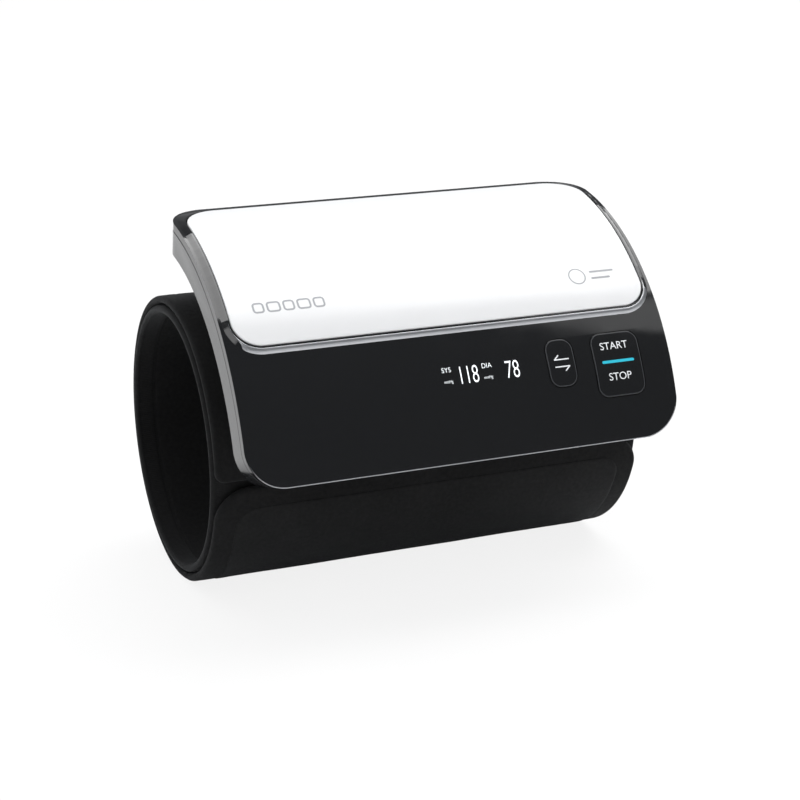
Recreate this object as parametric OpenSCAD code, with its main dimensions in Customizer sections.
// Blood pressure cuff with its monitor built in: a curved monitor unit seated on a pre-formed arm cuff.
// Frame: origin at the centre of the arm bore, +X along the bore, +Z up, the display faces -Y and up.

/* [Arm cuff] */
// Radius of the arm bore with the cuff rolled to its smallest size
bore_r = 34; // [30:0.5:48]
// Length of the cuff along the arm
cuff_w = 123; // [114:1:150]
// Thickness of the lining fabric
lining_t = 0.5; // [0.4:0.1:1]
// Thickness of the bladder with the air out
bladder_t = 0.7; // [0.6:0.1:1.2]
// Thickness of the plastic curler that keeps the cuff round
curler_t = 0.6; // [0.4:0.1:1.2]
// Thickness of the fabric over the curler
cover_t = 0.4; // [0.3:0.1:0.8]
// Gap between the inner ring and the outer wrap
wrap_gap = 0.3; // [0.2:0.1:0.8]
// Thickness of the padded outer wrap
wrap_t = 2.2; // [1.8:0.1:3.4]
// Angle of the flap's free end, below the front of the cuff
flap_end_a = 4; // [2:1:12]
// Angle of the flap's fold line, below the front of the cuff
flap_fold_a = 54; // [45:1:62]
// Corner radius of the flap's free end
flap_corner_r = 9.5; // [4:0.5:12]

/* [Monitor unit] */
// Width of the unit along the arm
unit_w = 120; // [116:1:150]
// Radius of its curved face
face_r = 68; // [62:1:84]
// Half of the unit's length, measured along the curved face
half_s = 46.9; // [44:0.1:52]
// Height of the face above the cuff, at the middle of the unit
unit_h = 19.9; // [19:0.1:26]
// Lean of the unit towards the front of the cuff
unit_tilt = 40.65; // [20:0.05:60]
// Height of the end walls, from the face to the underside
side_h = 9.1; // [8.6:0.1:12]
// Wall thickness of the back case
wall = 1.6; // [1.2:0.1:2]
// Thickness of the glossy front panel
panel_t = 2; // [1.6:0.1:2.4]
// Corner radius at the front and back of the unit
unit_corner_r = [10.5, 11.5]; // [6:0.5:14]

/* [Cover plate] */
// Border of panel left beside the plate
plate_side = 2.8; // [2:0.1:6]
// Distance from the middle of the face to the plate's front and back edges
plate_s = [-11.4, 41.9]; // [-20:0.5:43]
// Corner radius at the plate's front and back
plate_corner_r = [7, 9.5]; // [4:0.5:12]
// How far the plate stands above the face
plate_rise = 0.9; // [0.4:0.1:1.2]
// Thickness of the plate
plate_t = 1.8; // [1.4:0.1:2]
// Width of the bevel round the plate
bevel_w = 2; // [1:0.1:2.4]

/* [Buttons and display] */
// Place of the start button on the face: across, and along from the middle
start_at = [44.35, -26.7]; // [-45:0.05:45]
// Width and length of the start button
start_size = [13.9, 17]; // [8:0.1:18]
// Place of the transfer button on the face
transfer_at = [28.05, -24.7]; // [-45:0.05:45]
// Width and length of the transfer button
transfer_size = [7.9, 12.6]; // [7:0.1:16]
// Corner radius of both buttons
button_corner_r = 3; // [1:0.5:3.5]
// Gap round each button
button_gap = 0.2; // [0.15:0.05:0.4]
// Travel of the buttons
button_travel = 0.35; // [0.2:0.05:0.45]
// Place of the display on the face
display_at = [5.5, -24.6]; // [-25:0.1:25]
// Width and length of the display glass
display_size = [28, 12]; // [10:0.5:34]

/* [Batteries] */
// Diameter of a cell
cell_d = 10.5; // [9.5:0.1:12]
// Length of a cell with its nub
cell_l = 44.5; // [40:0.5:46]
// Room for the contact at each end of a row
contact_room = 2; // [1.6:0.1:3]
// Thickness of the battery door
door_t = 1.4; // [1.2:0.1:1.8]
// Clearance of the sliding door
door_gap = 0.2; // [0.15:0.05:0.4]

/* [Air system] */
// Radius of the pump's motor can
motor_r = 6; // [5:0.1:6.2]
// Length of the motor can
motor_l = 20; // [16:1:24]
// Outer radius of the air nozzles
nozzle_r = 1.5; // [1.2:0.1:1.8]
// Radial clearance of a shaft in its bearing
shaft_gap = 0.03; // [0.02:0.01:0.08]

/* [Hidden] */
$fn = 96;

over = 1;                      // how far a cutting tool runs past what it cuts
touch = 0.01;                  // sinks one piece of a solid into the next

// Cuff, from the arm outwards
bladder_r = bore_r + lining_t;
curler_r = bladder_r + bladder_t;
cover_r = curler_r + curler_t;
ring_r = cover_r + cover_t;
wrap_r = ring_r + wrap_gap;
cuff_r = wrap_r + wrap_t;
half_cuff = cuff_w / 2;
binding_w = 3;                 // length of the rolled edge at each end of the cuff
flap_inset = 0.4;              // flap and wrap stop this short of the inner ring's ends
fold_a = 270 - flap_fold_a;    // angles round the bore run from the top towards the back
tip_a = 270 - flap_end_a;
tip_gap = 3;                    // from the flap's free end to the start of the wrap, in degrees
wrap_start_a = tip_a - 360 + tip_gap;
fold_gap = 0.3;                 // gap at the fold line, along the wrap
hook_t = 0.6;
hook_inset = 8;

// Monitor unit
arc_z = cuff_r + unit_h - face_r;       // centre of the face's curve above the bore axis
panel_r = face_r - panel_t;             // inside of the front panel
under_r = face_r - side_h;              // underside of the unit
floor_r = under_r + wall;               // inside of the underside
half_w = unit_w / 2;
half_plate = half_w - plate_side;
plate_gap = 0.25;                       // gap round the cover plate
lip_h = 1.4;                            // lip of the panel inside the case walls
lip_t = 1;
lip_gap = 0.15;

// Battery bay, in a frame of its own that is turned towards the back of the unit
bay_turn = 21.65;
bay_gap = 0.5;
pitch = cell_d + bay_gap;               // spacing of the two rows of cells
bay_mid = 4.6;                          // middle of the two rows
rail_t = 0.8;                           // rail under the door's edges
door_q = cuff_r + 0.7 + rail_t + door_gap;   // underside of the door above the bore axis
cell_q = door_q + door_t + door_gap + 0.2 + cell_d / 2;
bay_p0 = bay_mid - pitch / 2 - cell_d / 2 - bay_gap / 2;
bay_p1 = bay_mid + pitch / 2 + cell_d / 2 + bay_gap / 2;
bay_top = cell_q + cell_d / 2 + bay_gap;
bay_wall = 1.4;
half_bay = cell_l + contact_room;
door_lip = 1.2;                         // thickness of the door's back lip
groove = 0.9;                           // how far the door's edges run into the side walls

// Pump room between the bay and the front of the saddle
room_p0 = -27.4;
room_p1 = bay_p0 - bay_wall;
saddle_floor_r = cuff_r + wall + 0.3;
pump_a = -20.6;                         // angle of the pump round the bore axis, in the bay frame
pump_q = cuff_r + 11;
pump_x = -38;                           // far end of the motor can
head_l = 12;
head_r = motor_r + 0.3;
sleeve_t = 0.6;
shaft_r = 0.9;
manifold = 8;
manifold_x = 4;
valve_x = 20;
valve_l = 13;
valve_r = 5;
plunger_r = 1.55;
port_r = 0.8;                           // radius of the air way in each nozzle
hose_t = 1;
nipple_r = 2;

// Circuit board, flat, under the display
board_s = -25.4;
board_t = 1;
board_z = floor_r + 0.8;                // underside of the board
board_top = board_z + board_t;
board_half = [45, 12];
board_hole = [41, 9.5];
sensor_at = [-18, 2];
switch_size = 4.5;
switch_h = 1.5;
flange_t = 0.8;
flange_w = 0.9;
glass_t = 1.4;
glass_z = panel_r - 0.3 - glass_t - (pow(display_size[1] / 2, 2)) / (2 * panel_r);

// Screws
case_screw_at = [half_w - 6.5, half_s - 8];
screw_r = 1;
screw_head_r = 1.9;
screw_head_h = 1.2;
thread_gap = 0.03;
post_r = 2.4;
post_top = panel_r - 2;
saddle_screw_x = half_bay - 4;
saddle_screw_a = [-39, -14];

// ---- frames ----
function deg(s) = s / face_r * 180 / PI;
module unit() rotate([unit_tilt, 0, 0]) children();
module bay() rotate([unit_tilt - bay_turn, 0, 0]) children();
module at_face(s) unit() translate([0, 0, arc_z]) rotate([-deg(s), 0, 0]) children();
module round_bore(a) bay() rotate([-a, 0, 0]) children();
module along_x(x0, x1) translate([x0, 0, 0]) rotate([90, 0, 90]) linear_extrude(x1 - x0) children();
module rod(r, x0, x1) translate([x0, 0, 0]) rotate([0, 90, 0]) cylinder(r = r, h = x1 - x0);

// ---- shapes ----
// a wedge from the centre outwards, its angles taken from +Z towards +Y
module wedge(a0, a1, far) {
    steps = max(2, ceil((a1 - a0) / 40));
    polygon([[0, 0], for (i = [0:steps]) let (a = a0 + (a1 - a0) * i / steps) 2 * far * [sin(a), cos(a)]]);
}
module ring(r0, r1) difference() { circle(r1); circle(r0); }
module arc_ring(r0, r1, a0, a1) intersection() { ring(r0, r1); wedge(a0, a1, r1); }
module face_band(r0, r1, s, x) unit() translate([0, 0, arc_z])
    along_x(x[0], x[1]) arc_ring(r0, r1, deg(s[0]), deg(s[1]));
module corner(c, h, sx, sy) difference() {
    translate([sx > 0 ? 0 : -c - over, sy > 0 ? 0 : -c - over, 0]) cube([c + over, c + over, h]);
    // a little larger than c, so that it crosses the side walls instead of grazing them
    translate([0, 0, -over]) cylinder(r = c + 0.03, h = h + 2 * over);
}
// a plate curved with the face, with rounded corners: c = [front radius, back radius]
module face_plate(r0, r1, s, half_x, c) difference() {
    face_band(r0, r1, s, [-half_x, half_x]);
    for (i = [0, 1], side = [-1, 1])
        at_face(s[i] + (i == 0 ? c[0] : -c[1]))
            translate([side * (half_x - c[i]), 0, r0 - over])
                corner(c[i], r1 - r0 + 2 * over, side, i == 0 ? -1 : 1);
}
module unit_plate(r0, r1, inset = 0) face_plate(r0, r1, [-half_s + inset, half_s - inset],
    half_w - inset, [unit_corner_r[0] - inset, unit_corner_r[1] - inset]);
module cover_outline(r0, r1, grow) face_plate(r0, r1, [plate_s[0] - grow, plate_s[1] + grow],
    half_plate + grow, [plate_corner_r[0] + grow, plate_corner_r[1] + grow]);
module rounded(size, c) {
    square([size[0] - 2 * c, size[1]], center = true);
    square([size[0], size[1] - 2 * c], center = true);
    for (x = [-1, 1], y = [-1, 1]) translate([x * (size[0] / 2 - c), y * (size[1] / 2 - c)]) circle(c);
}
module box2(p, q) translate([p[0], q[0]]) square([p[1] - p[0], q[1] - q[0]]);
// a closed coil of round wire along +Z
module coil(r0, r1, h, turns, wire_r) {
    sides = 8;
    per_turn = 18;
    n = turns * per_turn;
    function at(i) = let (t = i / n, a = 360 * turns * t, r = r0 + (r1 - r0) * t)
        [r * cos(a), r * sin(a), wire_r + (h - 2 * wire_r) * t];
    points = [for (i = [0:n]) let (c = at(i), a = 360 * turns * i / n) for (k = [0:sides - 1])
        let (b = 360 * k / sides)
        c + wire_r * [cos(b) * cos(a), cos(b) * sin(a), sin(b)]];
    quads = [for (i = [0:n - 1], k = [0:sides - 1]) let (m = (k + 1) % sides)
        [i * sides + k, i * sides + m, (i + 1) * sides + m, (i + 1) * sides + k]];
    polyhedron(points, concat([[for (k = [sides - 1:-1:0]) k]], [[for (k = [0:sides - 1]) n * sides + k]],
        [for (f = quads) [f[0], f[1], f[2]]], [for (f = quads) [f[0], f[2], f[3]]]), convexity = 10);
}

// ---- monitor housing ----
module case_posts(r0, r1, r) for (x = [-1, 1], s = [-1, 1])
    at_face(s * case_screw_at[1]) translate([x * case_screw_at[0], 0, r0]) cylinder(r = r, h = r1 - r0);

module button_hole(at, size, grow) at_face(at[1]) translate([at[0], 0, panel_r - 3])
    linear_extrude(2 * panel_t + 4) rounded([size[0] + 2 * grow, size[1] + 2 * grow], button_corner_r + grow);

module plate_bevel() hull() {
    $fn = 120;
    cover_outline(face_r - 0.8, face_r - 0.4, plate_gap + bevel_w + 0.4);
    cover_outline(face_r - 0.8, face_r + plate_rise - 0.15, plate_gap + 0.5);
}

module front_panel() color("#101215") difference() {
    union() {
        unit_plate(panel_r, face_r);
        intersection() { plate_bevel(); unit_plate(panel_r, face_r + 2, 0.6); }
        difference() {
            unit_plate(panel_r - lip_h, panel_r + touch, wall + lip_gap);
            unit_plate(panel_r - lip_h - over, panel_r + 2 * touch, wall + lip_gap + lip_t);
        }
        case_posts(post_top, panel_r + touch, post_r);
    }
    cover_outline(face_r + plate_rise - plate_t, face_r + 3, plate_gap);
    button_hole(start_at, start_size, button_gap);
    button_hole(transfer_at, transfer_size, button_gap);
    case_posts(post_top - over, panel_r + 0.6, screw_r + thread_gap);
}

module cover_plate() color("#f4f5f6") cover_outline(face_r + plate_rise - plate_t, face_r + plate_rise, 0);

// sections of the case, as seen along X in the unit's frame
module under_profile(r, half) translate([0, arc_z]) arc_ring(r, panel_r, -deg(half), deg(half));
module saddle_profile() difference() {
    intersection() {
        rotate(-bay_turn) box2([room_p0 - wall, bay_p1 + bay_wall + door_gap + door_lip],
            [0, face_r]);
        translate([0, arc_z]) arc_ring(1, panel_r, -deg(half_s), deg(half_s));
    }
    circle(cuff_r);
    rotate(-bay_turn) box2([bay_p0, face_r], [0, door_q - door_gap - rail_t]);
}
module room_profile() difference() {
    intersection() {
        rotate(-bay_turn) box2([room_p0, room_p1], [0, face_r]);
        translate([0, arc_z]) circle(panel_r + over);
    }
    circle(saddle_floor_r);
}

module pump_cradle() for (x = [pump_x + 3, pump_x + motor_l - 4.4])
    round_bore(pump_a) translate([x, 0, 0]) difference() {
        translate([0, -motor_r - 1.4, saddle_floor_r - 3]) cube([1.4, 2 * motor_r + 2.8, pump_q - saddle_floor_r + 3]);
        translate([0, 0, pump_q]) rod(motor_r + sleeve_t, -over, 1.4 + over);
    }

module back_case() color("#1b1d20") difference() {
    union() {
        difference() {
            intersection() {
                unit() union() {
                    along_x(-half_w, half_w) under_profile(under_r, half_s);
                    along_x(-half_bay - bay_wall, half_bay + bay_wall) saddle_profile();
                }
                unit_plate(1, panel_r);
            }
            // the main cavity, less the walls and roof of the battery bay
            difference() {
                intersection() {
                    unit() union() {
                        along_x(-half_w + wall, half_w - wall)
                            translate([0, arc_z]) arc_ring(floor_r, panel_r + over,
                                -deg(half_s - wall), deg(half_s - wall));
                        along_x(-half_bay, half_bay) room_profile();
                    }
                    unit_plate(1, panel_r + over, wall);
                }
                bay() along_x(-half_bay - bay_wall, half_bay + bay_wall)
                    box2([room_p1, bay_p1 + bay_wall], [0, bay_top + 1.2]);
                case_posts(under_r, post_top, post_r);
            }
        }
        board_posts();
        saddle_posts();
        intersection() {
            pump_cradle();
            unit() along_x(-half_bay, half_bay) room_profile();
        }
    }
    bay_cutout();
    case_posts(under_r - 4, post_top + over, screw_r + 0.15);
    case_posts(under_r - 4, under_r + 1.4, screw_head_r + 0.2);
    board_holes();
    saddle_holes();
    round_bore(pump_a) translate([manifold_x + manifold / 2, 0, cuff_r - over])
        cylinder(r = nipple_r + 0.2, h = wall + 2 * over);
}
// the bay itself, open below, with the grooves and the slot for the door's lip
module bay_cutout() bay() {
    along_x(-half_bay, half_bay) box2([bay_p0, bay_p1], [door_q - over - rail_t, bay_top]);
    along_x(-half_bay + 0.6, half_bay - 0.6) box2([bay_p0, face_r], [door_q - 3, door_q + door_t / 2]);
    along_x(-half_bay - groove - door_gap, half_bay + groove + door_gap)
        box2([bay_p0, bay_p1 + 9], [door_q - door_gap, door_q + door_t + door_gap]);
    along_x(-half_bay - bay_wall - over, half_bay + bay_wall + over)
        box2([bay_p1 + bay_wall, bay_p1 + 9], [door_q - 3, door_q + 5.2]);
}

module battery_door() color("#1b1d20") bay() {
    along_x(-half_bay - groove, half_bay + groove) box2([bay_p0 + door_gap, bay_p1 + bay_wall + door_gap + touch],
        [door_q, door_q + door_t]);
    difference() {
        along_x(-half_bay - bay_wall, half_bay + bay_wall)
            box2([bay_p1 + bay_wall + door_gap, bay_p1 + bay_wall + door_gap + door_lip], [door_q, door_q + 4.8]);
        // finger grooves on the lip
        for (i = [-3:3]) translate([i * 2.4, bay_p1 + bay_wall + door_gap + door_lip + 0.2, door_q - over])
            cylinder(r = 0.6, h = 8);
    }
}

// ---- buttons, display and board ----
module button(at, size) {
    intersection() {
        at_face(at[1]) translate([at[0], 0, panel_r - 3])
            linear_extrude(2 * panel_t + 4) rounded(size, button_corner_r);
        face_band(panel_r - flange_t - 0.2, face_r + 0.1, [-half_s, 0], [0, half_w]);
    }
    at_face(at[1]) translate([at[0], 0, 0]) {
        translate([0, 0, panel_r - 0.9 - flange_t]) linear_extrude(flange_t)
            rounded([size[0] + 2 * flange_w, size[1] + 2 * flange_w], button_corner_r);
        translate([0, 0, board_top + switch_h + 0.1 + button_travel])
            cylinder(r = 1.3, h = panel_r - 1 - board_top - switch_h - button_travel);
    }
}
module start_button() color("#141619") button(start_at, start_size);
module transfer_button() color("#141619") button(transfer_at, transfer_size);

module on_board(x, t, z) at_face(board_s) translate([x, t, z]) children();
module tact_switch(at) color("silver") on_board(at[0], at[1] - board_s, board_top) {
    translate([-switch_size / 2, -switch_size / 2, 0]) cube([switch_size, switch_size, switch_h - 0.5]);
    cylinder(r = 1.2, h = switch_h);
}
module start_switch() tact_switch(start_at);
module transfer_switch() tact_switch(transfer_at);

module display_module() color("#20242a") at_face(display_at[1])
    translate([display_at[0] - display_size[0] / 2, -display_size[1] / 2, glass_z])
        cube([display_size[0], display_size[1], glass_t]);
module display_holder() color("#3a3c40") on_board(display_at[0], display_at[1] - board_s, board_top) difference() {
    translate([-display_size[0] / 2 - 1, -display_size[1] / 2 - 1, 0])
        cube([display_size[0] + 2, display_size[1] + 2, glass_z - board_top - 0.1]);
    translate([-display_size[0] / 2 + 1.5, -display_size[1] / 2 + 1.5, -over])
        cube([display_size[0] - 3, display_size[1] - 3, 8]);
}

module board_places() for (x = [-1, 1], t = [-1, 1]) on_board(x * board_hole[0], t * board_hole[1], 0) children();
module board_posts() board_places() translate([0, 0, under_r + 0.4]) cylinder(r = 2, h = board_z - under_r - 0.4);
module board_holes() board_places() translate([0, 0, under_r + 0.9]) cylinder(r = 0.8 + thread_gap, h = 6);
module board_screws() color("silver") board_places() {
    translate([0, 0, board_top]) cylinder(r = 1.5, h = 0.8);
    translate([0, 0, under_r + 1.1]) cylinder(r = 0.8, h = board_top - under_r - 1.1 + touch);
}
module main_board() color("#1f5a3a") on_board(0, 0, board_z) difference() {
    translate([-board_half[0], -board_half[1], 0]) cube([2 * board_half[0], 2 * board_half[1], board_t]);
    for (x = [-1, 1], t = [-1, 1]) translate([x * board_hole[0], t * board_hole[1], -over])
        cylinder(r = 0.8 + 0.15, h = 4);
}
module controller_chip() color("#222222") on_board(-26, -4, board_top) {
    translate([-4.5, -4.5, 0.1]) cube([9, 9, 1]);
    for (i = [-4:4], side = [-1, 1]) translate([i * 0.9 - 0.15, side * 4.9 - 0.5, 0]) cube([0.3, 1, 0.3]);
}
module radio_module() color("silver") on_board(-36, 1, board_top) {
    translate([-4, -6, 0]) cube([8, 12, 0.6]);
    translate([-3.5, -5.5, 0.6 - touch]) cube([7, 8, 1.3]);
}
module pressure_sensor() color("#2b2b2b") on_board(sensor_at[0], sensor_at[1], board_top) difference() {
    union() {
        translate([-3, -3, 0]) cube([6, 6, 2.4]);
        translate([0, 2, 1.3]) rotate([-90, 0, 0]) cylinder(r = 1, h = 4);
    }
    translate([0, 1, 1.3]) rotate([-90, 0, 0]) cylinder(r = 0.4, h = 6);
}

module case_screws() color("silver") {
    case_posts(under_r + 1.4 - screw_head_h, under_r + 1.4, screw_head_r);
    case_posts(under_r + 1.4 - touch, panel_r + 0.4, screw_r);
}

// ---- air system ----
module at_pump() round_bore(pump_a) translate([0, 0, pump_q]) children();
motor_end = pump_x + motor_l;
head_end = motor_end + head_l;

module pump_motor() color("silver") at_pump() difference() {
    union() {
        rod(motor_r, pump_x, motor_end);
        rod(1.8, pump_x - 0.8, pump_x + touch);
    }
    rod(motor_r - 0.7, pump_x + 0.8, motor_end - 0.8);
    rod(shaft_r + shaft_gap, pump_x - 2, motor_end + over);
}
module pump_rotor() color("#b87333") at_pump() {
    rod(shaft_r, pump_x - 0.6, motor_end + 4);
    rod(motor_r - 1.4, pump_x + 2.5, motor_end - 2.5);
    rod(3.2, motor_end + 2.6, motor_end + 4);
    translate([0, 0, 1.7]) rod(0.6, motor_end + 4 - touch, motor_end + 6.5);
}
module pump_head() color("#e6e2d6") at_pump() difference() {
    union() {
        rod(head_r, motor_end, head_end);
        rod(nozzle_r, head_end - touch, head_end + 5);
    }
    rod(head_r - 1, motor_end - over, head_end - 3.4);
    rod(port_r, head_end - 4, head_end + 6);
}
module pump_diaphragm() color("#5a5a5a") at_pump() difference() {
    rod(head_r - 1, head_end - 4.2, head_end - 3.4);
    rod(port_r, head_end - 5, head_end);
}
module pump_sleeve() color("#333333") at_pump() difference() {
    rod(motor_r + sleeve_t, pump_x + 1, motor_end - 1);
    rod(motor_r, pump_x, motor_end);
}
module air_manifold() color("#e6e2d6") at_pump() difference() {
    union() {
        translate([manifold_x, -manifold / 2, -manifold / 2]) cube(manifold);
        rod(nozzle_r, manifold_x - 3, manifold_x + touch);
        rod(nozzle_r, manifold_x + manifold - touch, manifold_x + manifold + 3);
        translate([manifold_x + manifold / 2, -manifold / 2 + touch, 0]) rotate([90, 0, 0])
            cylinder(r = 1, h = 2);
    }
    rod(port_r, manifold_x - 4, manifold_x + manifold + 4);
    translate([manifold_x + manifold / 2, 0, -manifold / 2 - over]) cylinder(r = port_r, h = manifold / 2 + over);
    translate([manifold_x + manifold / 2, 0, 0]) rotate([90, 0, 0]) cylinder(r = 0.4, h = manifold);
}
module hose(points, r) for (i = [0:len(points) - 2]) {
    a = points[i];
    b = points[i + 1];
    d = b - a;
    translate(a) rotate([0, acos(d[2] / norm(d)), atan2(d[1], d[0])]) cylinder(r = r, h = norm(d));
    if (i > 0) translate(a) sphere(r = r + 0.05);
}
module air_hoses() color("#8d8f90") {
    at_pump() for (x = [[head_end + 2, manifold_x - 1], [manifold_x + manifold + 1, valve_x - 1]])
        difference() {
            rod(nozzle_r + hose_t, x[0], x[1]);
            rod(nozzle_r, x[0] - over, x[1] + over);
        }
    // thin line from the manifold to the sensor, in the frame of the pump
    at_pump() hose(sensor_line, 0.9);
}
// the end of the sensor's port, in the frame of the pump
function turn(v, a) = [v[0] * cos(a) - v[1] * sin(a), v[0] * sin(a) + v[1] * cos(a)];
sensor_port = turn(turn([sensor_at[1] + 6, board_top + 1.3], -deg(board_s)) + [0, arc_z], bay_turn + pump_a)
    - [0, pump_q];
port_way = turn([1, 0], bay_turn + pump_a - deg(board_s));
function off_port(d) = [sensor_port[0] + d * port_way[0], sensor_port[1] + d * port_way[1]];
sensor_line = [
    [manifold_x + manifold / 2, -manifold / 2 - 2, 0],
    [manifold_x + manifold / 2, -manifold / 2 - 4, 0],
    [sensor_at[0] + 4, off_port(7.6)[0], off_port(7.6)[1] - 3.9],
    [sensor_at[0], off_port(4.4)[0], off_port(4.4)[1]],
    [sensor_at[0], sensor_port[0], sensor_port[1]]
];
module valve_body() color("#b9bcc0") at_pump() difference() {
    union() {
        rod(valve_r, valve_x, valve_x + valve_l);
        rod(nozzle_r, valve_x - 3, valve_x + touch);
    }
    rod(port_r, valve_x - 4, valve_x + 2);
    rod(plunger_r + shaft_gap, valve_x + 3, valve_x + valve_l + over);
}
module valve_plunger() color("silver") at_pump() {
    rod(plunger_r, valve_x + 4.2, valve_x + valve_l + 4 + touch);
    rod(2.8, valve_x + valve_l + 4, valve_x + valve_l + 5);
}
module valve_spring() color("silver") at_pump() translate([valve_x + valve_l, 0, 0])
    rotate([0, 90, 0]) coil(2.1, 2.1, 4, 4, 0.22);
module cuff_nipple() color("#2e3033") round_bore(pump_a)
    translate([manifold_x + manifold / 2, 0, 0]) difference() {
        translate([0, 0, curler_r]) cylinder(r = nipple_r, h = pump_q - manifold / 2 - curler_r);
        translate([0, 0, curler_r - over]) cylinder(r = port_r, h = pump_q);
    }

// ---- batteries ----
// row 0 is the one nearer the front, and its cells point to +X; row 1 points the other way
module in_row(row) bay() translate([0, bay_mid + (row - 0.5) * pitch, cell_q]) rotate([0, 0, row * 180]) children();
module battery_cell(row, place) {
    nub_l = 1.2;
    x0 = (place - 1) * cell_l;
    in_row(row) {
        color("#c9a227") rod(cell_d / 2, x0, x0 + cell_l - nub_l);
        color("silver") rod(cell_d * 0.18, x0 + cell_l - nub_l - touch, x0 + cell_l);
    }
}
module battery_cell_1() battery_cell(0, 0);
module battery_cell_2() battery_cell(0, 1);
module battery_cell_3() battery_cell(1, 0);
module battery_cell_4() battery_cell(1, 1);

contact_t = 0.3;
module contact_springs() color("silver") for (row = [0, 1]) in_row(row)
    translate([-half_bay + contact_t, 0, 0]) rotate([0, 90, 0])
        coil(3.8, 2.2, contact_room - contact_t, 2.5, 0.3);
module contact_plates() color("silver") {
    size = cell_d - 2.5;
    for (row = [0, 1]) in_row(row) {
        translate([-half_bay, -size / 2, -size / 2]) cube([contact_t, size, size]);
        translate([half_bay - contact_t, -size / 2, -size / 2]) cube([contact_t, size, size]);
        rod(1.6, cell_l, half_bay - contact_t + touch);
    }
    // the strap that joins the two rows at their right-hand ends
    bay() translate([half_bay - contact_t, bay_mid - pitch / 2, cell_q - 1]) cube([contact_t, pitch, 2]);
}

// ---- saddle between the unit and the cuff ----
saddle_t = 1.1;
saddle_a = [-45, -9];
module saddle_places() for (x = [-1, 1], a = saddle_screw_a)
    round_bore(a) translate([x * saddle_screw_x, 0, 0]) children();
module saddle_posts() saddle_places() translate([0, 0, cuff_r + 1]) cylinder(r = 2.3, h = 6);
module saddle_holes() saddle_places() translate([0, 0, cuff_r - over]) cylinder(r = screw_r + thread_gap, h = 6.6 + over);
module saddle_blank(r0, r1, grow) bay() along_x(-half_bay + 2 - grow, half_bay - 2 + grow)
    arc_ring(r0, r1, saddle_a[0] - grow, saddle_a[1] + grow);
module saddle_frame() color("#2a2c30") difference() {
    saddle_blank(cuff_r - saddle_t, cuff_r, 0);
    // open middle, which leaves a rim round the screws and the air way
    bay() along_x(-half_bay + 12, 2) arc_ring(1, cuff_r + over, saddle_a[0] + 12, saddle_a[1] - 12);
    bay() along_x(14, half_bay - 12) arc_ring(1, cuff_r + over, saddle_a[0] + 12, saddle_a[1] - 12);
    saddle_places() translate([0, 0, cuff_r - 4]) cylinder(r = screw_r + 0.15, h = 8);
    nipple_hole();
}
module nipple_hole() round_bore(pump_a) translate([manifold_x + manifold / 2, 0, curler_r - over])
    cylinder(r = nipple_r + 0.5, h = 8);
module saddle_screws() color("silver") saddle_places() {
    translate([0, 0, cuff_r - saddle_t - 1]) cylinder(r = screw_head_r, h = 1 - 0.1);
    translate([0, 0, cuff_r - saddle_t - 0.5]) cylinder(r = screw_r, h = saddle_t + 6);
}

// ---- cuff ----
module cuff_lining() color("#161616") along_x(-half_cuff, half_cuff) ring(bore_r, bladder_r);
module bladder() color("#3a3a3e") bay() along_x(-half_cuff + 8, half_cuff - 8)
    arc_ring(bladder_r, curler_r, -150, 140);
module curler() color("#55585c") difference() {
    bay() along_x(-half_cuff + 4, half_cuff - 4) arc_ring(curler_r, cover_r, -165, 160);
    nipple_hole();
}
module cuff_cover() color("#1a1a1b") difference() {
    along_x(-half_cuff + binding_w, half_cuff - binding_w) ring(cover_r, ring_r);
    nipple_hole();
}
module edge_binding() color("#131313") for (side = [-1, 1])
    along_x(side > 0 ? half_cuff - binding_w : -half_cuff, side > 0 ? half_cuff : -half_cuff + binding_w)
        ring(bladder_r, ring_r);
module outer_wrap() color("#1c1c1d") difference() {
    along_x(-half_cuff + flap_inset, half_cuff - flap_inset) arc_ring(wrap_r, cuff_r, wrap_start_a, fold_a);
    saddle_blank(cuff_r - saddle_t, cuff_r + over, 0.2);
    saddle_places() translate([0, 0, wrap_r - over]) cylinder(r = screw_head_r + 0.6, h = 6);
    nipple_hole();
}
// an arc piece that ends in two rounded corners at angle a1
module flap_shape(r0, r1, a0, a1, half_x, c) difference() {
    along_x(-half_x, half_x) arc_ring(r0, r1, a0, a1);
    for (side = [-1, 1]) rotate([-(a1 - c / r1 * 180 / PI), 0, 0]) translate([side * (half_x - c), 0, r0 - over])
        corner(c, r1 - r0 + 2 * over, side, 1);
}
module cuff_flap() color("#202021") difference() {
    flap_shape(wrap_r, cuff_r, fold_a + fold_gap / cuff_r * 180 / PI, tip_a, half_cuff - flap_inset, flap_corner_r);
    hook_shape(wrap_r - over, wrap_r + hook_t);
}
module hook_shape(r0, r1) flap_shape(r0, r1, fold_a + 12, tip_a - 10, half_cuff - flap_inset - hook_inset, 4);
module hook_patch() color("#0f0f10") hook_shape(wrap_r, wrap_r + hook_t);

front_panel();
cover_plate();
back_case();
battery_door();
start_button();
transfer_button();
start_switch();
transfer_switch();
display_module();
display_holder();
main_board();
controller_chip();
radio_module();
pressure_sensor();
board_screws();
case_screws();
pump_motor();
pump_rotor();
pump_head();
pump_diaphragm();
pump_sleeve();
air_manifold();
air_hoses();
valve_body();
valve_plunger();
valve_spring();
cuff_nipple();
battery_cell_1();
battery_cell_2();
battery_cell_3();
battery_cell_4();
contact_springs();
contact_plates();
saddle_frame();
saddle_screws();
cuff_lining();
bladder();
curler();
cuff_cover();
edge_binding();
outer_wrap();
cuff_flap();
hook_patch();
